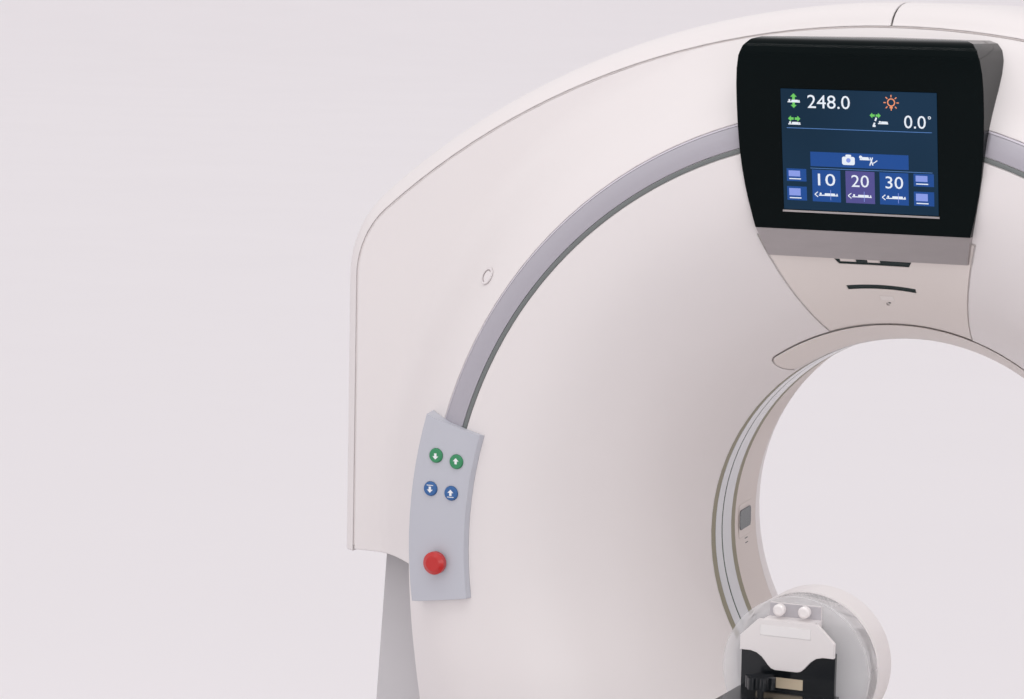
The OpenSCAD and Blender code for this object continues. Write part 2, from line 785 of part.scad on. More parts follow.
// Rotor: main bearing, drum, x-ray tube, detector and their supplies
drum_y = 60;
race_gap = 5;
ball_r = 12;
ball_path = bearing_r - 30 - race_gap / 2;
ball_y = frame_front + 20;
balls = 40;
module race(r0, r1, y0, y1) {
    around_axis() difference() {
        translate([r0, -y1]) square([r1 - r0, y1 - y0]);
        translate([ball_path, -ball_y]) circle(ball_r + 0.4);
    }
}
module bearing_outer_race() {
    color("silver") at_iso() race(bearing_r - 30, bearing_r, frame_front - 10, frame_front + 50);
}
module bearing_inner_race() {
    color("silver") at_iso() race(bearing_r - 65, bearing_r - 30 - race_gap, drum_y + drum_t,
        drum_y + drum_t + bearing_w);
}
module bearing_balls() {
    color("lightsteelblue") at_iso() {
        ring(ball_path - 1, ball_path + 1, ball_y - 15, ball_y + 15);
        for (i = [0:balls - 1]) rotate([0, i * 360 / balls, 0]) translate([0, ball_y, ball_path])
            sphere(ball_r);
    }
}
hub_r = bore_r + 35;
module rotor_drum() {
    color("steelblue") at_iso() {
        ring(hub_r, drum_r, drum_y, drum_y + drum_t);
        ring(hub_r, hub_r + 8, 0, drum_y);
    }
}
tube_z = focus_r + 34;
tube_r = 106;
module xray_tube() {
    color("lightgray") at_iso() {
        translate([0, drum_y, tube_z]) rotate([90, 0, 0]) cylinder(180, r = tube_r);
        translate([0, drum_y - 180, tube_z]) rotate([90, 0, 0])
            cylinder(30, r1 = tube_r, r2 = tube_r - 24);
        translate([-120, drum_y - 100, hub_r + 11]) cube([240, 100, 76]);
    }
}
detector_half = 26.5;
detector_r = focus_r + bore_r + detector_clear;
module detector() {
    color("darkseagreen") translate([0, 0, iso_h + focus_r])
        around_sector(180, detector_half) translate([detector_r, -drum_y])
            square([60, 2 * drum_y]);
}
// Supply units bolted on the drum: angle from the vertical, inner radius, width, height, depth
units = [[-58, 470, 190, 180, 150], [58, 470, 190, 180, 130], [-96, 440, 170, 200, 130],
    [96, 440, 170, 200, 130]];
module rotor_units() {
    color("lightslategray") at_iso() {
        for (u = units) rotate([0, u[0], 0]) translate([-u[2] / 2, drum_y - u[4], u[1]])
            cube([u[2], u[4], u[3]]);
        around_sector(180, 25) translate([drum_r - 80, -drum_y]) square([75, 70]);
    }
}
ring_r0 = bore_r + 50;
ring_r1 = bearing_r - 80;
module slip_ring() {
    color("peru") at_iso() difference() {
        ring(ring_r0, ring_r1, drum_y + drum_t, drum_y + drum_t + 30);
        for (r = [ring_r0 + 12:20:ring_r1 - 10])
            ring(r, r + 8, drum_y + drum_t + 26, drum_y + drum_t + 31);
    }
}
module slip_ring_brushes() {
    y = drum_y + drum_t + 30 + contact;
    rear = frame_front + frame_t;
    color("dimgray") at_iso() rotate([0, -135, 0]) {
        translate([-40, y, ring_r0]) cube([80, rear - y, ring_r1 - ring_r0]);
        translate([-40, rear, ring_r0]) cube([80, 12, bearing_r + 70 - ring_r0]);
    }
}
module rotor_motor() {
    y = frame_front + frame_t;
    color("dimgray") at_iso() translate([drive_at[0], y + 150, drive_at[1]]) rotate([90, 0, 0])
        difference() {
            union() {
                cylinder(150, r = 78);
                translate([-85, -85, 132]) cube([170, 170, 18]);
            }
            translate([0, 0, 70]) cylinder(100, r = shaft_r + running_gap);
        }
}
module drive_pulley() {
    color("silver") at_iso() translate([drive_at[0], drum_y, drive_at[1]]) rotate([-90, 0, 0]) {
        cylinder(drum_t, r = pulley_r);
        cylinder(frame_front + frame_t + 70 - drum_y, r = shaft_r);
    }
}
// Belt round the drum and the pulley, made of two arcs and two straight runs
belt_t = 4;
drive_d = norm(drive_at);
lap = acos((drum_r - pulley_r) / drive_d);
belt_y = [drum_y + 5, drum_y + drum_t - 5];
module belt_arc(r, from, span) {
    around_axis(from, span) translate([r + contact, -belt_y[1]])
        square([belt_t, belt_y[1] - belt_y[0]]);
}
module drive_belt() {
    away = atan2(drive_at[1], drive_at[0]);
    run = drive_d * sin(lap);
    color("black") at_iso() {
        belt_arc(drum_r, away + lap, 360 - 2 * lap);
        translate([drive_at[0], 0, drive_at[1]]) belt_arc(pulley_r, away - lap, 2 * lap);
        rotate([0, -away - lap, 0]) translate([drum_r + contact, belt_y[0], -run])
            cube([belt_t, belt_y[1] - belt_y[0], run]);
        rotate([0, -away + lap, 0]) translate([drum_r + contact, belt_y[0], 0])
            cube([belt_t, belt_y[1] - belt_y[0], run]);
    }
}

// Patient table
base_t = 12;
flange_x = skirt_w / 2 + 45;
columns = [-base_y - 108, -base_y - base_l + 108];
tube_wall = 7;
core_r = 36;
plate_low = cradle_drop + cradle_t + 28;
tray_low = plate_low + 102;
frame_low = tray_low - 8;
tube_l = iso_h - plate_low - lower_travel - base_t - 13;
step_one = lower_travel / 3;
step_two = 2 * lower_travel / 3;
skirt_h = iso_h - tray_low - lower_travel - base_t - 8;
function stage_r(i) = core_r + i * (tube_wall + glide_gap);
module stage_tubes(i, low) {
    for (y = columns) translate([0, y, low]) difference() {
        cylinder(tube_l, r = stage_r(i));
        translate([0, 0, -1]) cylinder(tube_l + 2, r = stage_r(i) - tube_wall);
    }
}
skirt_wall = 4;
module skirt(i, low, h) {
    inset = i * (skirt_wall + glide_gap);
    w = skirt_w - 2 * inset;
    l = base_l - 2 * inset;
    translate([-w / 2, inset - base_y - base_l, low]) difference() {
        cube([w, l, h]);
        translate([skirt_wall, skirt_wall, -1]) cube([w - 2 * skirt_wall, l - 2 * skirt_wall, h + 2]);
    }
}
anchor_w = skirt_w / 2 + 23;
module table_base() {
    color("gray") {
        difference() {
            translate([-flange_x, -base_y - base_l - base_edge, 0])
                cube([2 * flange_x, base_l + 2 * base_edge, base_t]);
            for (x = [-anchor_w, anchor_w], y = [21 - base_y, -base_y - base_l - 21])
                translate([x, y, -1]) cylinder(base_t + 2, r = 7);
        }
        stage_tubes(3, base_t);
    }
}
module base_skirt() { color("gainsboro") skirt(0, base_t, skirt_h); }
module lift_stage_one() {
    color("lightgray") {
        skirt(1, base_t + 2 + step_one, skirt_h);
        stage_tubes(2, base_t + 2 + step_one);
    }
}
module lift_stage_two() {
    color("lightgray") {
        skirt(2, base_t + 4 + step_two, skirt_h);
        stage_tubes(1, base_t + 7 + step_two);
    }
}
platform_end = -platform_y - platform_l;
rail_x = 120;
rail_z = -cradle_drop - cradle_t - 6;
module table_top_frame() {
    color("silver") at_iso() {
        along_y(platform_end + 20, -platform_y - 20) {
            difference() {
                translate([-150, -frame_low]) square([300, frame_low - plate_low + 8]);
                translate([-142, -frame_low - 1]) square([284, frame_low - plate_low + 1]);
            }
            for (x = [-rail_x, rail_x]) translate([x - 14, 8 - plate_low])
                square([28, rail_z - contact + plate_low - 8]);
        }
        for (y = columns) translate([0, y, -plate_low - tube_l]) cylinder(tube_l, r = core_r);
    }
}
edge_x = (trough_r + cradle_t / 2) * sin(cradle_angle) + cradle_t / 2;
tray_half = floor(edge_x) + 35;
tray_top = cradle_drop - 33;
tray_t = 8;
module table_tray() {
    color("whitesmoke") {
        at_iso() difference() {
            along_y(platform_end, -platform_y) difference() {
                translate([-tray_half, -tray_low]) square([2 * tray_half, tray_low - tray_top]);
                translate([tray_t - tray_half, tray_t - tray_low])
                    square([2 * (tray_half - tray_t), tray_low - tray_top - 2 * tray_t]);
                translate([30 - tray_half, -tray_top - 3 * tray_t])
                    square([2 * (tray_half - 30), 4 * tray_t]);
            }
            for (y = columns) translate([0, y, -tray_low - 1]) cylinder(tray_t + 2, r = stage_r(3) + 8);
        }
        at_iso() for (y = [platform_end, -platform_y - tray_t])
            translate([-tray_half + 1, y, -tray_low])
                cube([2 * tray_half - 2, tray_t, tray_low - plate_low + 2]);
        skirt(3, base_t + 6 + lower_travel, skirt_h + 2);
    }
}
cradle_z = trough_r - cradle_drop;
module trough(r0, r1, half, y0, y1) {
    along_y(y0, y1) translate([0, cradle_z]) intersection() {
        difference() {
            circle(r1, $fn = 240);
            circle(r0, $fn = 240);
        }
        mirror([0, 1]) wedge(half);
    }
}
module cradle() {
    y0 = -cradle_y - cradle_l;
    mid = trough_r + cradle_t / 2;
    color("gainsboro") at_iso() {
        trough(trough_r, trough_r + cradle_t, cradle_angle, y0, -cradle_y);
        for (x = [-1, 1]) translate([x * mid * sin(cradle_angle), -cradle_y,
            cradle_z - mid * cos(cradle_angle)]) rotate([90, 0, 0])
                cylinder(cradle_l, r = cradle_t / 2 - 1);
        for (x = [-rail_x, rail_x]) translate([x - 10, y0 + 20, rail_z])
            cube([20, cradle_l - 60, 34]);
    }
}
module patient_pad() {
    color("dimgray") at_iso()
        trough(trough_r - 14, trough_r, cradle_angle - 4, 60 - cradle_y - cradle_l, -cradle_y - 140);
}

// Test phantom, hung on a holder that stands in the cradle's end
module phantom_part(y0, y1, r) {
    translate([0, y1, -phantom_drop]) rotate([90, 0, 0]) cylinder(y1 - y0, r = r);
}
module phantom_clear() {
    r = phantom_d / 2;
    color("lightcyan") at_iso() difference() {
        union() {
            phantom_part(-phantom_y, 8 - phantom_y, r);
            phantom_part(8 - phantom_y, clear_l - phantom_y, r - 2);
        }
        phantom_part(8 - phantom_y, clear_l - phantom_y - 6, r - 10);
    }
}
module phantom_drum() {
    r = phantom_d / 2;
    color("white") at_iso() {
        phantom_part(clear_l - phantom_y, phantom_l - 6 - phantom_y, r);
        translate([0, phantom_l - phantom_y, -phantom_drop]) rotate([90, 0, 0])
            cylinder(6, r1 = r - 6, r2 = r);
    }
}
// Bracket on the phantom's face: a plate with a scooped lower edge, hooked over the holder's
// upright by a shelf and held on the phantom by two thumbscrews
plate_t = 8;
upright_y = -phantom_y - 33;
upright_half = 73;
deck_z = -phantom_drop - 23;
screw_x = 19.5;
bracket_edge = concat(bezier([17, -88], [31, -88], [33, -64], [56, -62], 6),
    [[upright_half, -62], [upright_half, -40], [46, -14]]);
module phantom_bracket() {
    face = -phantom_y - contact;
    color("white") at_iso() {
        along_y(upright_y - contact - plate_t, upright_y - contact)
            polygon(concat(bracket_edge, reversed([for (p = bracket_edge) [-p[0], p[1]]])));
        along_y(upright_y - plate_t, face) translate([-40, -24]) square([80, 10]);
        along_y(face - 5, face) translate([-40, -24]) square([80, 30]);
        for (x = [-screw_x, screw_x]) translate([x, face - 5, -1]) rotate([90, 0, 0]) {
            cylinder(12, r = 4);
            translate([0, 0, 12]) cylinder(8, r = 9);
            translate([0, 0, 20]) cylinder(3, r1 = 9, r2 = 6);
        }
    }
}
// Holder: a foot in the trough, a column, a deck with its clamping knob, and the upright
module knob_star() {
    circle(16);
    for (a = [0:60:300]) rotate(a) translate([17.5, 0]) circle(6, $fn = 24);
}
module phantom_holder() {
    base_z = 1.6 - cradle_drop;
    color("dimgray") at_iso() {
        translate([-30, -cradle_y - 130, base_z]) cube([60, 128, 14]);
        translate([-30, -cradle_y - 90, base_z]) cube([60, 50, deck_z - plate_t - base_z]);
        translate([-78, -cradle_y - 120, deck_z - 12])
            cube([156, cradle_y + 120 + upright_y + plate_t, 12]);
        translate([-upright_half, upright_y, deck_z - 1]) cube([2 * upright_half, plate_t, 65]);
        translate([-30, upright_y - 33, deck_z - 1]) {
            cylinder(11, r = 5);
            translate([0, 0, 10]) linear_extrude(18) knob_star();
        }
    }
}

floor_frame();
base_plinth();
pedestals();
pedestal_covers();
tilt_bearings();
tilt_drive();
tilt_frame();
front_cover();
crown_left();
crown_right();
rear_cover();
belly_cover();
inlay_bands();
badge();
console_panel();
slot_inserts();
lip_panel();
display_housing();
display_screen();
screen_trim();
display_chin();
scan_window();
window_seals();
rear_liner();
laser_windows();
control_panels();
button_up_left();
button_down_left();
button_in_left();
button_out_left();
button_up_right();
button_down_right();
button_in_right();
button_out_right();
stop_left();
stop_right();
bearing_outer_race();
bearing_inner_race();
bearing_balls();
rotor_drum();
xray_tube();
detector();
rotor_units();
slip_ring();
slip_ring_brushes();
rotor_motor();
drive_pulley();
drive_belt();
table_base();
base_skirt();
lift_stage_one();
lift_stage_two();
table_top_frame();
table_tray();
cradle();
patient_pad();
phantom_clear();
phantom_drum();
phantom_holder();
phantom_bracket();
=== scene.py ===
"""Computed tomography scanner: finishes, prints, trim, pad, light and camera round its frame.

Lengths are in metres and colours are display values from 0 to 255, unless a comment says more.
"""
import math

import bmesh
import bpy
from mathutils import Matrix, Vector
from mathutils.bvhtree import BVHTree


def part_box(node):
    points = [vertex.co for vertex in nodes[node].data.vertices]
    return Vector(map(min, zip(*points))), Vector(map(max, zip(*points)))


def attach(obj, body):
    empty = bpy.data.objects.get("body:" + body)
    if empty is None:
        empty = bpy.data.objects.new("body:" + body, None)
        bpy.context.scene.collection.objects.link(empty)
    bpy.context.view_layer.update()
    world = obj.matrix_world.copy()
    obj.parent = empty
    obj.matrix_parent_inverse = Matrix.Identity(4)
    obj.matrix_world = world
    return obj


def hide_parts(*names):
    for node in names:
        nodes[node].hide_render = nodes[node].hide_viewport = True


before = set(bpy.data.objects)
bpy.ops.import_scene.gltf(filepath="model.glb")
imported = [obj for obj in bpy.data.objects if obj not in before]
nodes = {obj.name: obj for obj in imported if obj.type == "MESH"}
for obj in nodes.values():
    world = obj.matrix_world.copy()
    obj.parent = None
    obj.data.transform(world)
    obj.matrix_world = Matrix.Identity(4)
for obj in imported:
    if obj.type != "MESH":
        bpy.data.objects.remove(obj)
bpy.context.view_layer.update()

ISO = 0.985             # height of the isocentre above the floor
SIDES = ((1, "right"), (-1, "left"))
REARWARD = Vector((0, 1, 0))
AHEAD = -3.0            # a depth in front of the whole scanner


# Materials

MOTTLE = (0.3, 0.7)     # a noise's values are spread from the first of these to the second
EVEN = (1, 1, 1)        # a texture that isn't stretched


def linear(rgb):
    """Display values as linear colour."""
    return tuple((c / 255 / 12.92) if c / 255 <= 0.04045 else ((c / 255 + 0.055) / 1.055) ** 2.4
                 for c in rgb)


class Shader:
    """A principled material with its texture nodes, in object coordinates."""

    def __init__(self, name, colour, rough, metallic=0.0):
        self.material = bpy.data.materials.new(name)
        self.material.use_nodes = True
        self.tree = self.material.node_tree
        self.surface = self.tree.nodes["Principled BSDF"]
        self.colour = linear(colour)
        self.set(Base_Color=(*self.colour, 1), Roughness=rough, Metallic=metallic)
        self.place = self.tree.nodes.new("ShaderNodeTexCoord").outputs["Object"]
        self.normal = None

    def set(self, **values):
        """Values of the surface's own sockets."""
        for key, value in values.items():
            self.surface.inputs[key.replace("_", " ")].default_value = value
        return self

    def link(self, output, socket):
        """An output into one of the surface's sockets."""
        self.tree.links.new(output, self.surface.inputs[socket])
        return self

    def node(self, kind, **inputs):
        """A new node, each input of which is a value or another node's output."""
        made = self.tree.nodes.new("ShaderNode" + kind)
        for key, value in inputs.items():
            socket = made.inputs[key.replace("_", " ")]
            if isinstance(value, bpy.types.NodeSocket):
                self.tree.links.new(value, socket)
            else:
                socket.default_value = value
        return made

    def noise(self, scale, detail, stretch):
        place = self.place
        if stretch != EVEN:
            place = self.node("Mapping", Scale=stretch, Vector=place).outputs["Vector"]
        return self.node("TexNoise", Scale=scale, Detail=detail, Vector=place).outputs["Fac"]

    def clouds(self, dark, light, scale, detail=3.0, stretch=EVEN):
        """A linear colour that drifts between dark and light."""
        node = self.node("ValToRGB", Fac=self.noise(scale, detail, stretch))
        for element, place, colour in zip(node.color_ramp.elements, MOTTLE, (dark, light)):
            element.position, element.color = place, (*colour, 1)
        return node.outputs["Color"]

    def vary(self, amount, scale, detail=3.0, stretch=EVEN):
        """Soft light and dark variation of the base colour."""
        dark = tuple(c * (1 - amount) for c in self.colour)
        light = tuple(min(1, c * (1 + amount)) for c in self.colour)
        return self.link(self.clouds(dark, light, scale, detail, stretch), "Base Color")

    def rough(self, low, high, scale, detail=4.0, stretch=EVEN):
        """Roughness that drifts between low and high."""
        node = self.node("MapRange", From_Min=MOTTLE[0], From_Max=MOTTLE[1], To_Min=low,
                         To_Max=high, Value=self.noise(scale, detail, stretch))
        return self.link(node.outputs["Result"], "Roughness")

    def edge(self, radius):
        """Sharp edges shaded as if rounded with that radius; comes before bump."""
        node = self.node("Bevel", Radius=radius)
        node.samples = 4
        self.normal = node.outputs["Normal"]
        return self.link(self.normal, "Normal")

    def bump(self, scale, depth, detail=2.0, stretch=EVEN):
        """Relief of that depth, on top of what shapes the surface already."""
        node = self.node("Bump", Strength=1.0, Distance=depth,
                         Height=self.noise(scale, detail, stretch))
        if self.normal is not None:
            self.tree.links.new(self.normal, node.inputs["Normal"])
        self.normal = node.outputs["Normal"]
        return self.link(self.normal, "Normal")


def moulding(name, colour, rough, vary=0.015, edge=0.0015):
    """Painted or moulded plastic: a fine grain, faint clouds in colour and sheen, eased edges."""
    made = Shader(name, colour, rough).edge(edge).vary(vary, scale=1.6)
    return made.rough(rough - 0.05, rough + 0.06, scale=5).bump(scale=900, depth=0.00003)


def metal(name, colour, rough, stretch, wear=0.08):
    """Machined metal: fine tool marks along one direction."""
    made = Shader(name, colour, rough, metallic=1.0).edge(0.0006)
    made.vary(wear, scale=18, detail=4, stretch=stretch)
    made.rough(rough - wear, rough + 1.5 * wear, scale=60, detail=3, stretch=stretch)
    return made.bump(scale=240, depth=0.00003, stretch=stretch)


# The frame's plain materials give up their names to the finished ones
plain = {material: material.name for node in nodes.values() for material in node.data.materials}
for material in plain:
    material.name = "frame_" + material.name
finish = {}


def add(shader):
    """A material that takes the place of the frame's plain one of the same name."""
    finish[shader.material.name] = shader.material
    return shader


# Covers, drives and trim
add(moulding("cover_white", (226, 221, 220), 0.38, 0.015, 0.003)).set(
    Coat_Weight=0.12, Coat_Roughness=0.25)
add(moulding("cover_grey", (196, 194, 196), 0.4))
add(moulding("frame_paint", (92, 98, 106), 0.5, 0.05)).bump(160, 0.00012)
add(metal("machined_steel", (176, 178, 182), 0.3, (1, 12, 1)))
add(metal("bronze", (176, 132, 76), 0.32, (1, 10, 1)))
add(moulding("drive_black", (38, 40, 43), 0.5, 0.08)).bump(200, 0.0001)
add(moulding("inlay_grey", (170, 167, 175), 0.34, 0.03))
add(moulding("badge_white", (226, 220, 220), 0.24, 0.03)).set(Coat_Weight=0.6, Coat_Roughness=0.08)
add(moulding("console_grey", (223, 215, 210), 0.4, 0.02, 0.003))
add(moulding("slot_dark", (30, 44, 44), 0.4, 0.06, 0.0005)).set(Specular_IOR_Level=0.25)

# Display
housing = add(Shader("housing_black", (4, 12, 13), 0.09))
housing.edge(0.003).vary(0.15, 3).rough(0.07, 0.11, 6).bump(700, 0.00001)
housing.set(Specular_IOR_Level=0.07)
screen = add(Shader("screen_navy", (4, 8, 14), 0.16)).vary(0.12, 5).rough(0.12, 0.2, 9)
screen.set(Specular_IOR_Level=0.08, Emission_Strength=1.0)
screen.link(screen.clouds(linear((17, 41, 60)), linear((24, 50, 74)), 4, 1), "Emission Color")
add(metal("trim_silver", (180, 175, 175), 0.42, (1, 8, 1), 0.02))

# Opening
add(moulding("window_film", (206, 208, 212), 0.2, 0.02)).set(Coat_Weight=0.4, Coat_Roughness=0.1)
add(moulding("seal_olive", (146, 141, 120), 0.55, 0.05, 0.001)).bump(500, 0.00008)
add(moulding("liner_beige", (214, 204, 198), 0.42, 0.02))
add(moulding("laser_glass", (46, 58, 60), 0.22, 0.1)).set(Specular_IOR_Level=0.3)

# Control panels
add(moulding("panel_grey", (188, 190, 198), 0.4, 0.02))
add(moulding("key_green", (52, 138, 92), 0.42, 0.05))
add(moulding("key_blue", (48, 98, 156), 0.42, 0.05))
add(moulding("stop_red", (190, 28, 26), 0.34, 0.06)).set(Coat_Weight=0.3)

# Rotor
add(metal("drum_alloy", (158, 162, 168), 0.36, (1, 10, 1)))
add(moulding("tube_housing", (168, 170, 166), 0.4, 0.06)).bump(140, 0.0002)
add(moulding("detector_case", (118, 138, 126), 0.44, 0.05))
add(moulding("unit_case", (126, 134, 150), 0.46, 0.06)).bump(160, 0.0001)
add(metal("copper", (190, 116, 80), 0.28, (1, 12, 1)))
add(moulding("belt_rubber", (26, 27, 28), 0.62, 0.1)).bump(400, 0.0002)

# Table and phantom
add(metal("rail_alloy", (178, 182, 188), 0.34, (12, 1, 12)))
add(moulding("cradle_grey", (206, 208, 212), 0.3, 0.03)).set(Coat_Weight=0.3, Coat_Roughness=0.15)
pad = add(Shader("pad_black", (40, 43, 48), 0.55))
pad.vary(0.12, 9).rough(0.48, 0.62, 30).bump(260, 0.00025, 3)
pad.set(Sheen_Weight=0.25, Sheen_Roughness=0.5)
clear = add(Shader("phantom_acrylic", (247, 246, 247), 0.08))
clear.edge(0.002).vary(0.03, 20).rough(0.05, 0.14, 24).bump(60, 0.00003)
clear.set(Alpha=0.37, Coat_Weight=0.5)
add(moulding("phantom_white", (232, 227, 226), 0.34, 0.02)).set(Coat_Weight=0.2)
add(moulding("holder_dark", (18, 22, 26), 0.2, 0.2, 0.001)).set(
    Specular_IOR_Level=0.4, Coat_Weight=0.25, Coat_Roughness=0.1)

for node in nodes.values():
    for i, material in enumerate(node.data.materials):
        node.data.materials[i] = finish[plain[material]]


# Moulded pieces: copies shaded as the curved surfaces that they are, instead of strips

MOULDED = {"front_cover": "gantry", "rear_cover": "gantry", "crown_left": "gantry",
           "crown_right": "gantry", "belly_cover": "gantry", "lip_panel": "gantry",
           "console_panel": "gantry", "control_panels": "gantry", "display_housing": "gantry",
           "display_chin": "gantry", "rear_liner": "gantry", "cradle": "cradle",
           "table_tray": "table_top", "phantom_bracket": "cradle"}
WELD = 2e-6             # points nearer than this are one
CURVED = 28             # degrees between two facets of a curved face, at most


def shade(mesh, angle):
    """Smooth faces, with the edges sharper than that angle in degrees left sharp."""
    mesh.shade_smooth()
    mesh.set_sharp_from_angle(angle=math.radians(angle))


def smoothed(name, body):
    """A smooth-shaded copy of a node, which rides on the node's body and replaces it."""
    mesh = nodes[name].data.copy()
    mesh.name = name + "_shell"
    form = bmesh.new()
    form.from_mesh(mesh)
    bmesh.ops.remove_doubles(form, verts=form.verts, dist=WELD)
    form.to_mesh(mesh)
    form.free()
    if "custom_normal" in mesh.attributes:
        mesh.attributes.remove(mesh.attributes["custom_normal"])
    shade(mesh, CURVED)
    shell = bpy.data.objects.new(name + "_shell", mesh)
    bpy.context.scene.collection.objects.link(shell)
    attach(shell, body)
    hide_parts(name)


for name, body in MOULDED.items():
    smoothed(name, body)


# Mesh pieces

def piece(name, points, faces, body, material, slot=None, smooth=None):
    """A closed mesh that rides on a body, smooth up to that angle in degrees if one is given."""
    mesh = bpy.data.meshes.new(name)
    mesh.from_pydata([tuple(p) for p in points], [], faces)
    mesh.update()
    mesh.materials.append(material)
    thing = bpy.data.objects.new(name, mesh)
    bpy.context.scene.collection.objects.link(thing)
    if smooth is not None:
        shade(mesh, smooth)
    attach(thing, body)
    return thing


def prisms(outlines, low, high, place):
    """Points and faces of outlines of (x, y), extruded from low to high and set in place."""
    points, faces = [], []
    for outline in outlines:
        n, k = len(outline), len(points)
        points += [place @ Vector((x, y, z)) for z in (low, high) for x, y in outline]
        faces += [tuple(k + n + i for i in range(n)), tuple(k + n - 1 - i for i in range(n))]
        faces += [(k + i, k + (i + 1) % n, k + n + (i + 1) % n, k + n + i) for i in range(n)]
    return points, faces


def skin(n, rings, count, gap=0):
    """Faces from each of the given rings to the next; count rings have n points each."""
    return [(j * n + i, j * n + (i + 1) % n, (j + 1) % count * n + (i + 1) % n,
             (j + 1) % count * n + i) for j in rings for i in range(n - gap)]


def turned(faces):
    """The same faces seen from their other side, as a mirrored shape needs."""
    return [tuple(reversed(face)) for face in faces]


def rim_of(across, along):
    """Indices round the edge of a grid with that many cells across and along."""
    w = across + 1
    return (list(range(across)) + [j * w + across for j in range(along)]
            + [along * w + i for i in range(across, 0, -1)] + [j * w for j in range(along, 0, -1)])


# Outlines

CORNER_STEPS = 5


def polar(r, angle, cx=0.0, cy=0.0):
    """The point at a radius and an angle in radians about a centre."""
    return cx + r * math.cos(angle), cy + r * math.sin(angle)


def rounded(w, h, r, cx=0.0, cy=0.0):
    """A rectangle with round corners."""
    corners = [(cx + sx * (w / 2 - r), cy + sy * (h / 2 - r), a)
               for sx, sy, a in ((1, 1, 0), (-1, 1, 90), (-1, -1, 180), (1, -1, 270))]
    return [polar(r, math.radians(a + 90 * i / CORNER_STEPS), x, y)
            for x, y, a in corners for i in range(CORNER_STEPS + 1)]


def disc(r, cx, cy, n=20):
    return [polar(r, 2 * math.pi * i / n, cx, cy) for i in range(n)]


def ring(cx, cy, r0, r1, n=24):
    """A flat ring from radius r0 to r1, as n outlines."""
    return [[polar(r, 2 * math.pi * k / n, cx, cy)
             for r, k in ((r0, i), (r1, i), (r1, i + 1), (r0, i + 1))] for i in range(n)]


def bar(x0, y0, x1, y1):
    return [(x0, y0), (x1, y0), (x1, y1), (x0, y1)]


def ray(x, y, r0, r1, half, turn):
    """A bar of that half width from radius r0 to r1 around a centre, towards turn in degrees."""
    c, s = math.cos(math.radians(turn)), math.sin(math.radians(turn))
    return [(x + r * c - w * s, y + r * s + w * c)
            for r, w in ((r0, half), (r0, -half), (r1, -half), (r1, half))]


def arrow(x, y, size, turn):
    """A solid arrow that points to turn, in degrees from +X."""
    c, s = math.cos(math.radians(turn)), math.sin(math.radians(turn))
    shape = [(0.5, 0), (0, 0.5), (0, 0.2), (-0.45, 0.2), (-0.45, -0.2), (0, -0.2), (0, -0.5)]
    return [(x + size * (c * a - s * b), y + size * (s * a + c * b)) for a, b in shape]


def facing(x, y, z, lean=0.0):
    """A place whose X is +X and whose Z faces the table, leaned forward by lean degrees."""
    return Matrix.Translation((x, y, z)) @ Matrix.Rotation(math.radians(90 + lean), 4, "X")


# The picture on the display: plain numbers, arrows and blocks, placed in millimetres from the
# screen's centre

SCREEN = facing(0, -0.389, ISO + 0.670, 10.3)
PRINT = (0.0010, 0.00115)   # rear and front face of a print before SCREEN's plane
DIGITS = 0.00015            # thickness of a digit
LAYER = 0.0001              # how far the prints of a layer stand before those of the layer below


def glow(name, colour, strength):
    """The light of a print on the screen."""
    made, lit = Shader(name, (8, 10, 14), 0.3), linear(colour)
    made.link(made.clouds(tuple(c * 0.92 for c in lit), lit, 900, 1), "Emission Color")
    return made.set(Emission_Strength=strength, Specular_IOR_Level=0.15).material


white_glow = glow("glow_white", (236, 242, 252), 1.0)
pale_glow = glow("glow_pale", (140, 158, 232), 1.0)
green_glow = glow("glow_green", (118, 214, 104), 0.9)
orange_glow = glow("glow_orange", (250, 158, 116), 0.95)
blue_glow = glow("glow_blue", (30, 80, 156), 0.9)
violet_glow = glow("glow_violet", (88, 84, 152), 0.9)
line_glow = glow("glow_line", (92, 138, 206), 0.9)


def shown(name, outlines, material, layer=0):
    """Outlines as thin raised print on the screen."""
    low, high = (depth + LAYER * layer for depth in PRINT)
    outlines = [[(x / 1000, y / 1000) for x, y in outline] for outline in outlines]
    piece(name, *prisms(outlines, low, high, SCREEN), "gantry", material, "screen_navy")


def number(name, text, box, material, layer=0):
    """Digits as thin raised print, fitted to a box of left, low, right and top."""
    curve = bpy.data.curves.new(name, "FONT")
    curve.body, curve.extrude, curve.resolution_u = text, 0.05, 3
    sample = bpy.data.objects.new(name + "_sample", curve)
    mesh = bpy.data.meshes.new_from_object(sample)
    bpy.data.objects.remove(sample)
    xs, ys, zs = zip(*(p.co for p in mesh.vertices))
    left, low, right, top = (c / 1000 for c in box)
    wide, tall = (right - left) / (max(xs) - min(xs)), (top - low) / (max(ys) - min(ys))
    rear = PRINT[0] + LAYER * layer
    points = [SCREEN @ Vector((left + (x - min(xs)) * wide, low + (y - min(ys)) * tall,
                               rear + (DIGITS if z > 0 else 0.0)))
              for x, y, z in zip(xs, ys, zs)]
    faces = [tuple(f.vertices) for f in mesh.polygons]
    piece(name, points, faces, "gantry", material, "screen_navy")


def table_icon(x, y, w=20):
    """A small side view of a patient lying on a table."""
    return [bar(x - w / 2, y - 1.3, x + w / 2, y + 0.3),
            rounded(3.2, 3.2, 1.4, x - w / 2 + 3, y + 2.0),
            rounded(w * 0.55, 2.6, 1.0, x + w * 0.08, y + 1.6),
            bar(x + w / 2 - 2.4, y, x + w / 2 - 0.6, y + 2.6)]


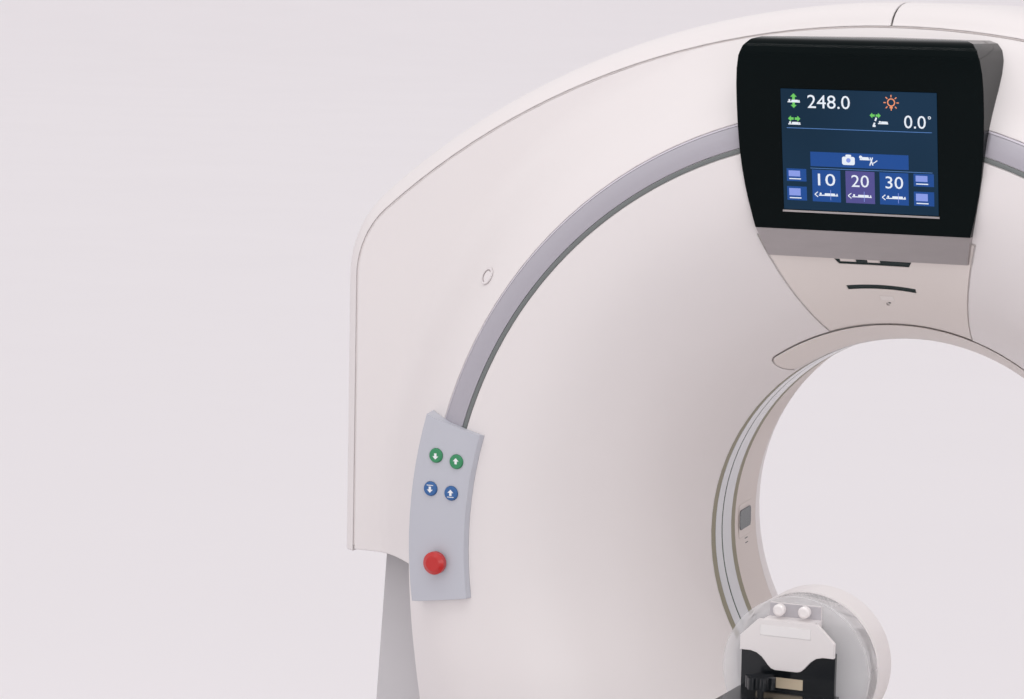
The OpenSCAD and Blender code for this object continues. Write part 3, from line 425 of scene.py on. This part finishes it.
# Upper part: table height, tilt and lamp
number("print_height", "248.0", (-80.9, 66.0, -12.7, 86.8), white_glow)
number("print_tilt", "0.0", (72.8, 39.6, 106.8, 59.6), white_glow)
shown("print_degree", ring(112.5, 57.0, 1.3, 2.4, 16), white_glow)
tilt_icon = [ray(26.6, 48, 1.5, 7.0, 1.3, 70), ray(26.6, 48, 1.5, 7.0, 1.3, 250),
             rounded(5, 3.2, 1.4, 25.2, 41.6)]
shown("print_tables", table_icon(-103, 75.4) + table_icon(-103, 40.6)
      + table_icon(39.5, 46.0, 16) + tilt_icon, white_glow)
shown("print_arrows", [arrow(-103.2, 83.0, 10.6, 90), arrow(-103.2, 70.2, 9.6, 270),
                       arrow(-108.3, 48.7, 9.4, 180), arrow(-97.9, 48.7, 9.4, 0),
                       arrow(22.6, 57.8, 8.4, 180), arrow(31.8, 57.8, 8.4, 0)], green_glow)
shown("print_lamp", ring(52.9, 78.8, 4.6, 6.4)
      + [ray(52.9, 78.4, 8.4, 12.1, 0.8, 45 * i + 90) for i in range(8)]
      + [bar(50.6, 69.6, 55.2, 72.4)], orange_glow)
shown("print_line", [bar(-115.6, 33.6, 116, 34.5), bar(-79, -28.7, 116, -27.9)], line_glow)

# Lower part: a bar over three keys, and two small tiles at each side
TILES = (-76.6, -22.6, 32.0)                # left edges of the keys
TILE_ROW = (-80.9, -30.5)                   # their low and top edge
SIDE_TILES = [(s * 102 - 16, y, s * 102 + 16, y + h)
              for s in (-1, 1) for y, h in ((-50.1, 19.8), (-80.4, 22.0))]
tile_middles = [left + 23.2 for left in TILES]
shown("print_bar", [bar(-78.6, -25.2, 78.6, -2.4)]
      + [bar(left, TILE_ROW[0], left + 45.8, TILE_ROW[1]) for left in (TILES[0], TILES[2])]
      + [bar(*box) for box in SIDE_TILES], blue_glow)
shown("print_middle", [bar(TILES[1], TILE_ROW[0], TILES[1] + 46.6, TILE_ROW[1])], violet_glow)
marks = [rounded(20.4, 13.0, 3.0, -17.2, -14.6), rounded(9.0, 4.0, 1.6, -17.2, -6.8),
         ray(1, -11.6, 0, 16, 0.9, 0), ray(17.0, -20.5, 0, 13.5, 0.9, 70),
         ray(17.5, -8.0, 0, 13.0, 0.9, 290), ray(22.5, -17.0, 0, 8.0, 0.7, 35),
         rounded(5, 5, 2.4, 2.6, -8.0), rounded(11, 3.4, 1.4, 10, -9.4)]
for x in tile_middles:
    marks += table_icon(x + 2.5, -70.2, 31)
    marks += [ray(x - 19.5, -69.5, 0, 6.4, 0.7, 38), ray(x - 19.5, -69.5, 0, 6.4, 0.7, 322)]
for x0, y0, x1, y1 in SIDE_TILES:
    marks.append(bar(x0 + 4, y0 + 3.0, x1 - 9, y0 + 4.6))
shown("print_marks", marks, white_glow, layer=2)
shown("print_lens", [disc(3.6, -17.2, -13.8)]
      + [ray(x + 6.3, -70, -8, 8, 0.4, 90) for x in tile_middles]
      + [bar(x0 + 3.4, y0 + 7.6, x1 - 10, y1 - 3.0) for x0, y0, x1, y1 in SIDE_TILES],
      pale_glow, layer=4)
for i, left in enumerate(TILES):
    number(f"print_key_{i + 1}", str(10 * (i + 1)), (left + 9.4, -55.4, left + 37.4, -36.4),
           white_glow, layer=2)


# Patient pad: a long thin cushion with sewn channels, lying in the cradle's trough

PAD_CELLS = (44, 150)           # across and along
TROUGH = (0.380, 0.132)         # radius of the trough, and height of its axis over the isocentre
PAD_HALF = math.radians(27)     # half of the pad's angle about that axis
PAD_THICK = (0.0012, 0.0126)    # at the edge, and what the filling adds
FIELDS = 5                      # between the channels that are sewn across the pad
CHANNEL = 0.006                 # half width of such a channel
SIDE_SEAM = (0.86, 0.02)        # place and half width, as shares of the pad's half width
SEWN = 0.45                     # share of the filling that a seam takes away


def pad_thickness(s, t, from_end, length):
    """The thickness at s from -1 to 1 across and t from 0 to 1 along."""
    edge = max(0.0, 1 - abs(s) ** 10) * max(0.0, 1 - abs(2 * t - 1) ** 60)
    puff = edge ** 0.5
    seam = sum(math.exp(-((from_end - k * length / FIELDS) / CHANNEL) ** 2)
               for k in range(1, FIELDS))
    seam += math.exp(-((abs(s) - SIDE_SEAM[0]) / SIDE_SEAM[1]) ** 2)
    return PAD_THICK[0] + PAD_THICK[1] * puff * (1 - SEWN * min(1, seam))


def make_pad():
    low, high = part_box("patient_pad")
    across, along = PAD_CELLS
    points = []
    for top in (True, False):
        for j in range(along + 1):
            t = j / along
            y = low.y + (high.y - low.y) * t
            for i in range(across + 1):
                s = 2 * i / across - 1
                a = s * PAD_HALF
                r = TROUGH[0] - (pad_thickness(s, t, y - low.y, high.y - low.y) if top else 0.0)
                points.append((r * math.sin(a), y, ISO + TROUGH[1] - r * math.cos(a)))
    w = across + 1
    n = (along + 1) * w
    faces = []
    for a in (j * w + i for j in range(along) for i in range(across)):
        faces += [(a, a + 1, a + w + 1, a + w), (n + a, n + a + w, n + a + w + 1, n + a + 1)]
    rim = rim_of(across, along)
    faces += [(b, a, n + a, n + b) for a, b in zip(rim, rim[1:] + rim[:1])]
    made = piece("pad", points, faces, "cradle", pad.material, "pad_black", smooth=60)
    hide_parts("patient_pad")


make_pad()


# Prints on the buttons

KEYS = ("up", "down", "in", "out")
POINTS_TO = (90, 270, 90, 270)      # the arrows of the keys, in degrees
PANEL_FROM, ROWS = 74.0, (4.6, 9.1)  # the panel's first angle from the top, and the rows after it
COLUMNS, APART = 0.7115 - 0.006, 0.019  # radius midway between a row's keys, half their distance
KEY_HIGH = 0.390 + 0.0035           # how far the keys' faces stand before the isocentre
KEY_PRINT = 0.0001
KEY_ARROW = (0.001, 0.011)          # height over the key's middle, and size
KEY_BAR = (0.006, 0.0055, 0.0068)   # half width, near and far edge
white_print = moulding("print_white", (236, 238, 240), 0.4, 0.02).material


def on_key(side, angle, r):
    """The face of a key: X and Y lie in it, and Y points up."""
    return (Matrix.Translation((0, 0, ISO)) @ Matrix.Rotation(math.radians(side * angle), 4, "Y")
            @ Matrix.Translation((0, -KEY_HIGH, r)) @ Matrix.Rotation(math.radians(90), 4, "X")
            @ Matrix.Rotation(math.radians(side * angle), 4, "Z"))


for side, word in SIDES:
    for i, key in enumerate(KEYS):
        upward = 1 if POINTS_TO[i] == 90 else -1
        marks = [arrow(0, upward * KEY_ARROW[0], KEY_ARROW[1], POINTS_TO[i])]
        if key in ("in", "out"):
            half, near, far = KEY_BAR
            marks.append(bar(-half, -far, half, -near) if upward > 0
                         else bar(-half, near, half, far))
        place = on_key(side, PANEL_FROM + ROWS[i // 2], COLUMNS + (APART if i % 2 else -APART))
        piece(f"mark_{key}_{word}", *prisms(marks, 0.0, KEY_PRINT, place),
              f"button_{key}_{word}", white_print)


# Small trim: bare labels, a plate, a grey sheet of painted shade over the bracket's tab and the
# badge's ring

LABEL = 0.0003          # thickness of a label
trees = {name: BVHTree.FromPolygons([v.co for v in nodes[name].data.vertices],
                                    [tuple(f.vertices) for f in nodes[name].data.polygons])
         for name in ("phantom_bracket", "console_panel", "phantom_holder", "inlay_bands",
                      "display_housing")}


def on_face(node, x, z, clear=0.0, start=AHEAD):
    """The first point of a node behind start at X = x and height z, and that much ahead of it."""
    place = trees[node].ray_cast(Vector((x, start, z)), REARWARD)[0]
    if place is None:
        raise ValueError(f"{node} has no face at {x}, {z}")
    return place - Vector((0, clear, 0))


def sticker(name, node, box, body, material, slot, start=AHEAD, cells=6):
    """A thin label that follows the face under its box of left, low, right and top over ISO."""
    x0, x1, z0, z1 = box[0], box[2], ISO + box[1], ISO + box[3]
    places = [(x0 + (x1 - x0) * i / cells, z0 + (z1 - z0) * j / cells)
              for j in range(cells + 1) for i in range(cells + 1)]
    points = [on_face(node, x, z, clear, start) for clear in (0.0, LABEL) for x, z in places]
    w = cells + 1
    n = w * w
    faces = []
    for a in (j * w + i for j in range(cells) for i in range(cells)):
        faces += [(a, a + w, a + w + 1, a + 1), (n + a, n + a + 1, n + a + w + 1, n + a + w)]
    rim = rim_of(cells, cells)
    faces += [(a, b, n + b, n + a) for a, b in zip(rim, rim[1:] + rim[:1])]
    piece(name, points, faces, body, material, slot)


label_paper = moulding("label_paper", (238, 235, 234), 0.42, 0.02).material
console_paper = moulding("label_console", (229, 223, 219), 0.45, 0.02).material
plate_cream = moulding("plate_cream", (214, 198, 172), 0.36, 0.05).material
ring_grey = moulding("ring_grey", (150, 138, 138), 0.4, 0.04).material

sticker("bracket_label", "phantom_bracket", (-0.042, -0.0375, 0.037, -0.0215), "cradle",
        label_paper, "phantom_white")
sticker("console_label", "console_panel", (-0.009, 0.4275, 0.013, 0.4355), "gantry",
        console_paper, "console_grey")
sticker("console_screw", "console_panel", (0.0005, 0.4222, 0.0045, 0.4242), "gantry",
        finish["slot_dark"], "slot_dark", cells=2)
sticker("holder_plate", "phantom_holder", (-0.049, -0.1165, 0.024, -0.1005), "cradle",
        plate_cream, "holder_dark", start=-0.660)

# The grey sheet on the tab, painted shade behind the thumbscrews, is slit from its top edge to the
# holes for them
TAB = (0.0398, -0.0138, 0.0057)     # half width, low and high edge about the isocentre
TAB_FACE = -0.6243                  # depth of the tab's front
SCREWS, SCREW_HIGH = (-0.0195, 0.0195), -0.001
HOLE, HOLE_STEPS = 0.0044, 20
SLIT = (91.5, 357)                  # first angle of a hole and the angle up to its last


def make_tab():
    half, low, high = TAB
    outline = [(half, high), (half, low), (-half, low), (-half, high)]
    for x in SCREWS:
        hole = [polar(HOLE, math.radians(SLIT[0] + SLIT[1] * i / HOLE_STEPS), x, SCREW_HIGH)
                for i in range(HOLE_STEPS + 1)]
        outline += [(hole[0][0], high)] + hole + [(hole[-1][0], high)]
    grey = moulding("tab_painted_shade", (184, 181, 185), 0.3, 0.03, 0.0003).material
    piece("bracket_tab_shade", *prisms([outline[::-1]], 0.0, LABEL, facing(0, TAB_FACE, ISO)),
          "cradle", grey, "phantom_white")


make_tab()

BADGE_RING = (0.0098, 0.0112)       # inner and outer radius
badge_faces = [f for f in nodes["badge"].data.polygons if f.normal.y < -0.5]
outward = sum((f.normal * f.area for f in badge_faces), Vector()).normalized()
middle = (sum((f.center * f.area for f in badge_faces), Vector())
          / sum(f.area for f in badge_faces))
place = Matrix.Translation(middle) @ outward.to_track_quat("Z", "Y").to_matrix().to_4x4()
piece("badge_ring", *prisms(ring(0, 0, *BADGE_RING, 40), 0.0, LABEL, place), "gantry",
      ring_grey, "badge_white")


# The scan window's dark middle line

WINDOW_LINE = (0.3497, 0.3507, 0.0024)      # inner and outer radius, half width
LINE_STEPS = 180


def make_window_line():
    inner, outer, half = WINDOW_LINE
    points = []
    for r, y in ((inner, -half), (outer, -half), (outer, half), (inner, half)):
        for i in range(LINE_STEPS):
            a = 2 * math.pi * i / LINE_STEPS
            points.append((r * math.sin(a), y, ISO + r * math.cos(a)))
    green = moulding("line_green", (66, 84, 70), 0.5, 0.06).material
    piece("window_line", points, skin(LINE_STEPS, range(4), 4), "gantry", green, "seal_olive")


make_window_line()


# The rounded laser glasses in the liner behind the scan window

LINER = (0.350, 0.065, 0.363, 0.205)    # radius and depth of the liner's front and rear ends
LASER = (0.131, -0.0065)                # depth and height of a glass about the isocentre
SURROUND_HIGH = -0.008
TICK = (-0.004, -0.0435, 0.014, -0.042)  # box of the upper tick, in depth from the glass
TICK_DOWN = 0.008
RINGS = ((1.0, 0), (1.0, 1), (0.6, 1), (0.25, 1), (0.25, 0), (0.6, 0))  # share of size, face


def on_liner(side, y, z, lift):
    """A point on the liner's cone at depth y and height z over the axis, lifted towards it."""
    front, start, rear, end = LINER
    r = front + (y - start) * (rear - front) / (end - start) - lift
    return Vector((side * math.sqrt(r * r - z * z), y, ISO + z))


def liner_plate(name, side, outline, low, high, slot, *replaced):
    """A plate of (y, z) that follows the liner, from low to high over its face."""
    n = len(outline)
    cy, cz = sum(y for y, z in outline) / n, sum(z for y, z in outline) / n
    points = [on_liner(side, cy + k * (y - cy), cz + k * (z - cz), (low, high)[face])
              for k, face in RINGS for y, z in outline]
    faces = skin(n, (0, 1, 2, 4, 5), 6)
    faces += [tuple(range(3 * n, 4 * n)), tuple(range(5 * n - 1, 4 * n - 1, -1))]
    if side > 0:
        faces = turned(faces)
    made = piece(name, points, faces, "gantry", finish[slot], slot, smooth=30)
    if replaced:
        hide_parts(*replaced)


for side, word in SIDES:
    liner_plate(f"laser_surround_{word}", side,
                rounded(0.084, 0.060, 0.004, LASER[0], SURROUND_HIGH), -0.0002, 0.0004,
                "liner_beige")
    liner_plate(f"laser_glass_{word}", side, rounded(0.076, 0.035, 0.009, *LASER), 0.0002, 0.0019,
                "laser_glass", "laser_windows")
    for k in (0, 1):
        tick = bar(LASER[0] + TICK[0], TICK[1] - TICK_DOWN * k,
                   LASER[0] + TICK[2], TICK[3] - TICK_DOWN * k)
        liner_plate(f"laser_tick_{k}_{word}", side, tick, -0.0001, 0.0004, "slot_dark")


# The inlay's rounded rib, with a pale strip of painted highlight outside it and a dark lip inside
# it, partly its own darker colour and partly painted shade. Each section goes by millimetres from
# the band's outer edge and above the frame's face.

BAND = (0.735, 0.689, 14.0, 74.0)   # outer and inner radius, first and last angle from the top
EDGE = [(0.0, -1.6), (0.25, 0.3), (0.9, 1.2), (2.0, 1.9), (3.0, 2.3), (3.2, -1.6)]
RIB = [(3.4, -1.6), (3.6, 2.2), (4.6, 2.8), (8.0, 3.4), (14.0, 3.6), (20.0, 3.4), (26.0, 2.8),
       (31.0, 1.9), (35.0, 0.9), (37.8, 0.1), (38.2, -1.6)]
LIP = [(38.8, -1.6), (39.0, 0.2), (39.8, 0.6), (42.0, 0.3), (44.6, -0.3), (45.7, -0.8),
       (46.0, -1.6)]
INSIDE = 0.0005                     # the band's face is measured at least this far inside its edges
NEAR_DISPLAY = 3                    # degrees of fine steps beside the display
FINE, COARSE = 30, 76               # steps there, and steps over the rest
PROBES = (0, 0.001, 0.002, 0.003)   # distances towards the display at which its housing is felt for


def free_share(side, x, z):
    """1 away from the display, and 0 where its housing lies before the band."""
    free = sum(trees["display_housing"].ray_cast(Vector((x - side * d, AHEAD, z)), REARWARD)[0]
               is None for d in PROBES)
    return free / len(PROBES)


def band_strip(name, side, profile, material, *replaced):
    """A strip along the inlay with that section, sunk to the frame's face behind the display."""
    outer, inner, first, last = BAND
    middle = math.radians((first + last) / 2)
    rest = first + NEAR_DISPLAY
    angles = [first + NEAR_DISPLAY / FINE * i for i in range(FINE)]
    angles += [rest + (last - first - NEAR_DISPLAY) * i / COARSE for i in range(COARSE + 1)]
    section = []
    for across, high in profile:
        r = outer - across / 1000
        probe = min(max(r, inner + INSIDE), outer - INSIDE)
        face = on_face("inlay_bands", probe * math.sin(middle), ISO + probe * math.cos(middle)).y
        section.append((r, face, high / 1000))
    points = []
    for angle in angles:
        s, c = math.sin(math.radians(angle)), math.cos(math.radians(angle))
        for r, face, high in section:
            x, z = side * r * s, ISO + r * c
            points.append((x, face - (high * free_share(side, x, z) if high > 0 else high), z))
    w, count = len(section), len(angles)
    faces = skin(w, range(count - 1), count)
    faces += [tuple(range(w - 1, -1, -1)), tuple(range((count - 1) * w, count * w))]
    if side < 0:
        faces = turned(faces)
    made = piece(name, points, faces, "gantry", material, "inlay_grey", smooth=40)
    if replaced:
        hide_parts(*replaced)


# Dark lip: a green-grey trim of its own, made darker still as painted shade of its downward face.
lip_colour_and_shade = moulding("inlay_dark_and_shade", (112, 117, 116), 0.42, 0.05, 0.0005).material
# Pale strip: painted highlight on the rib's rounded outer shoulder, lighter than the band's own
# grey.
painted_highlight = moulding("inlay_painted_highlight", (206, 201, 210), 0.3, 0.03, 0.0005).material
for side, word in SIDES:
    band_strip(f"inlay_{word}", side, RIB, finish["inlay_grey"], "inlay_bands")
    band_strip(f"inlay_highlight_strip_{word}", side, EDGE, painted_highlight)
    band_strip(f"inlay_lip_{word}", side, LIP, lip_colour_and_shade)


# The light gasket in the joint between the crown and the front cover

# Half the gantry's width, the top's radius and its centre's height, and the corner's radius
OUTLINE = (0.975, 1.39525, -0.49525, 0.195)
SKIRT = -0.050                      # height of the crown's lower ends about the isocentre
GASKET = (0.0384, 0.0406)           # how far its two sides lie inside the outline
GASKET_DEPTH = (-0.2445, -0.238)    # Y of its front and rear
TOP_STEPS, CORNER = 40, 10          # steps over half of the top, and round a corner


def crown_line(depth):
    """Points (x, z) of the gantry's outline at that depth inside it, from left to right."""
    half, broad, centre, tight = OUTLINE
    reach = half - tight
    lean = math.asin(reach / (broad - tight))
    bend = centre + math.sqrt((broad - tight) ** 2 - reach ** 2)
    arcs = [(broad - depth, lean * i / TOP_STEPS, 0.0, centre) for i in range(TOP_STEPS)]
    arcs += [(tight - depth, lean + (math.pi / 2 - lean) * i / CORNER, reach, bend)
             for i in range(CORNER + 1)]
    line = [(x + r * math.sin(a), z + r * math.cos(a)) for r, a, x, z in arcs]
    line.append((half - depth, SKIRT))
    return [(-x, z) for x, z in reversed(line[1:])] + line


def make_gasket():
    outer, inner = (crown_line(depth) for depth in GASKET)
    front, rear = GASKET_DEPTH
    n = len(outer)
    points = [(x, y, ISO + z)
              for line, y in ((outer, front), (inner, front), (inner, rear), (outer, rear))
              for x, z in line]
    faces = skin(n, range(4), 4, gap=1)
    faces += [(3 * n, 2 * n, n, 0), (n - 1, 2 * n - 1, 3 * n - 1, 4 * n - 1)]
    pale = moulding("gasket_pale", (228, 221, 219), 0.5, 0.03).material
    piece("crown_gasket", points, faces, "gantry", pale, "cover_white", smooth=20)


make_gasket()


# Floor, light and camera

SWEEP = [(60, 0.0), (72, 0.5), (84, 2.2), (94, 5.5), (100, 10.0), (103, 16.0)]  # radius, height
SWEEP_STEPS = 96


def make_floor():
    """A pale floor that sweeps up far away into a low wall, as a studio's does."""
    n = SWEEP_STEPS
    points = [(0, 0, 0)] + [(*polar(r, 2 * math.pi * i / n), z) for r, z in SWEEP for i in range(n)]
    faces = [(0, 1 + i, 1 + (i + 1) % n) for i in range(n)]
    for k in range(1, 1 + n * (len(SWEEP) - 1), n):
        faces += [(k + i, k + n + i, k + n + (i + 1) % n, k + (i + 1) % n) for i in range(n)]
    mesh = bpy.data.meshes.new("floor")
    mesh.from_pydata(points, [], faces)
    mesh.shade_smooth()
    paint = Shader("floor_pale", (239, 236, 238), 0.6)
    paint.vary(0.006, 0.4).rough(0.55, 0.68, 2).set(Specular_IOR_Level=0.1)
    mesh.materials.append(paint.material)
    floor = bpy.data.objects.new("floor", mesh)
    bpy.context.scene.collection.objects.link(floor)


def make_world():
    """Soft light from all sides."""
    world = bpy.data.worlds.new("studio")
    world.use_nodes = True
    sky = world.node_tree.nodes["Background"]
    sky.inputs["Color"].default_value = (1.0, 0.965, 0.985, 1)
    sky.inputs["Strength"].default_value = 0.92
    bpy.context.scene.world = world


TUBE, WINDOW = (3.2, 0.03), (4.0, 2.4)      # sizes of the lights


def area_light(name, place, target, size, watts):
    light = bpy.data.lights.new(name, "AREA")
    light.shape, light.energy = "RECTANGLE", watts
    light.size, light.size_y = size
    lamp = bpy.data.objects.new(name, light)
    towards = (Vector(target) - Vector(place)).to_track_quat("-Z", "Y")
    lamp.matrix_world = Matrix.Translation(place) @ towards.to_matrix().to_4x4()
    bpy.context.scene.collection.objects.link(lamp)


CAMERA = (1.4171, -4.7999, 1.8667)
TURN, TIP, ROLL = (math.radians(a) for a in (24.33, 6.53, 1.11))    # left, down, and its slant
LENS, SENSOR, FAR = 105.47, 36.0, 4000.0    # millimetres, millimetres and metres


def make_camera():
    """The photograph's viewing angle: turned left, tipped down, slightly rolled."""
    ahead = Vector((-math.sin(TURN) * math.cos(TIP), math.cos(TURN) * math.cos(TIP),
                    -math.sin(TIP)))
    level = Vector((math.cos(TURN), math.sin(TURN), 0))
    above = level.cross(ahead)
    right = level * math.cos(ROLL) + above * math.sin(ROLL)
    up = above * math.cos(ROLL) - level * math.sin(ROLL)
    data = bpy.data.cameras.new("camera")
    data.lens, data.sensor_width, data.clip_end = LENS, SENSOR, FAR
    camera = bpy.data.objects.new("camera", data)
    matrix = Matrix((right, up, -ahead)).transposed().to_4x4()
    matrix.translation = CAMERA
    camera.matrix_world = matrix
    bpy.context.scene.collection.objects.link(camera)
    bpy.context.scene.camera = camera


make_floor()
make_world()
area_light("tube_near", place=(0.0, -1.7, 3.5), target=(0, -1.5, 0), size=TUBE, watts=10)
area_light("tube_far", place=(0.0, -1.2, 3.5), target=(0, -1.1, 0), size=TUBE, watts=8)
area_light("window", place=(2.4, -6.0, 1.9), target=(0, 0, 0.7), size=WINDOW, watts=54)
make_camera()
bpy.context.scene.view_settings.view_transform = "Standard"
